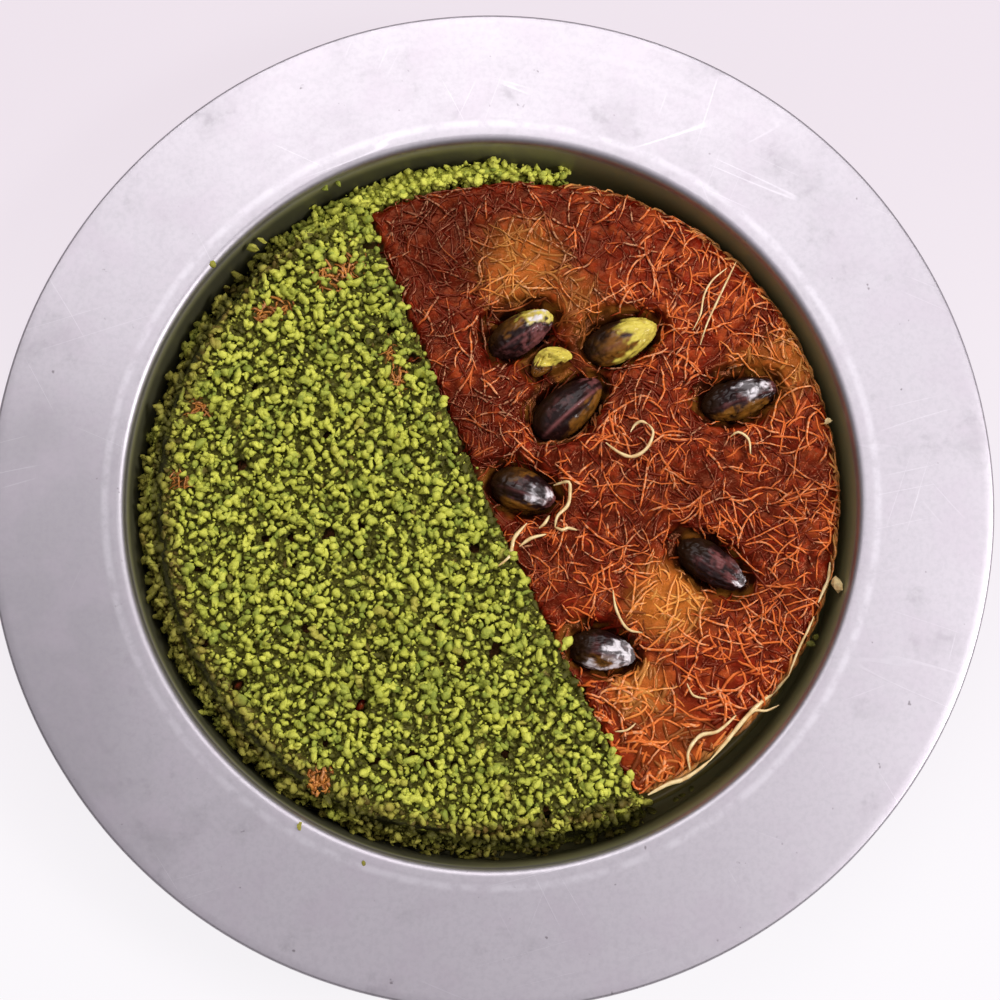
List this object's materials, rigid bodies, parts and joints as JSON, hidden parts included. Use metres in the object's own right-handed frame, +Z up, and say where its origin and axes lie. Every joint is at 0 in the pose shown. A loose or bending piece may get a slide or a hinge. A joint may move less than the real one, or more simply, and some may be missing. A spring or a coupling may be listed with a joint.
{
  "type": "kunafa",
  "caption": "Round kunafa in a wide-brimmed metal dish, one half bare glazed pastry threads with whole pistachio kernels, the other under chopped pistachio.",
  "frame": {"origin": "centre of the dish's flat underside, on the surface it stands on", "axes": "+Z up out of the dish; -Y is the side that the picture is taken from; the bare half of the cake lies towards +X"},
  "size_m": [0.236, 0.236, 0.0255],
  "materials": {
    "dish_metal": "satin, worn, with fine scratches",
    "baked_pastry": "baked pastry threads under a glossy syrup glaze",
    "chopped_pistachio": "finely chopped green nut, matt to slightly oily",
    "kernel": "dark purple-brown nut skin, wet with syrup, yellow-green where bare"
  },
  "bodies": {
    "root": {"dish": "dish_metal", "pastry": "baked_pastry", "pistachio_crumbs": "chopped_pistachio", "kernel_north_west": "kernel", "kernel_north": "kernel", "kernel_split": "kernel", "kernel_east": "kernel", "kernel_west": "kernel", "kernel_south_east": "kernel", "kernel_south": "kernel", "kernel_piece": "kernel"}
  },
  "joints": []
}
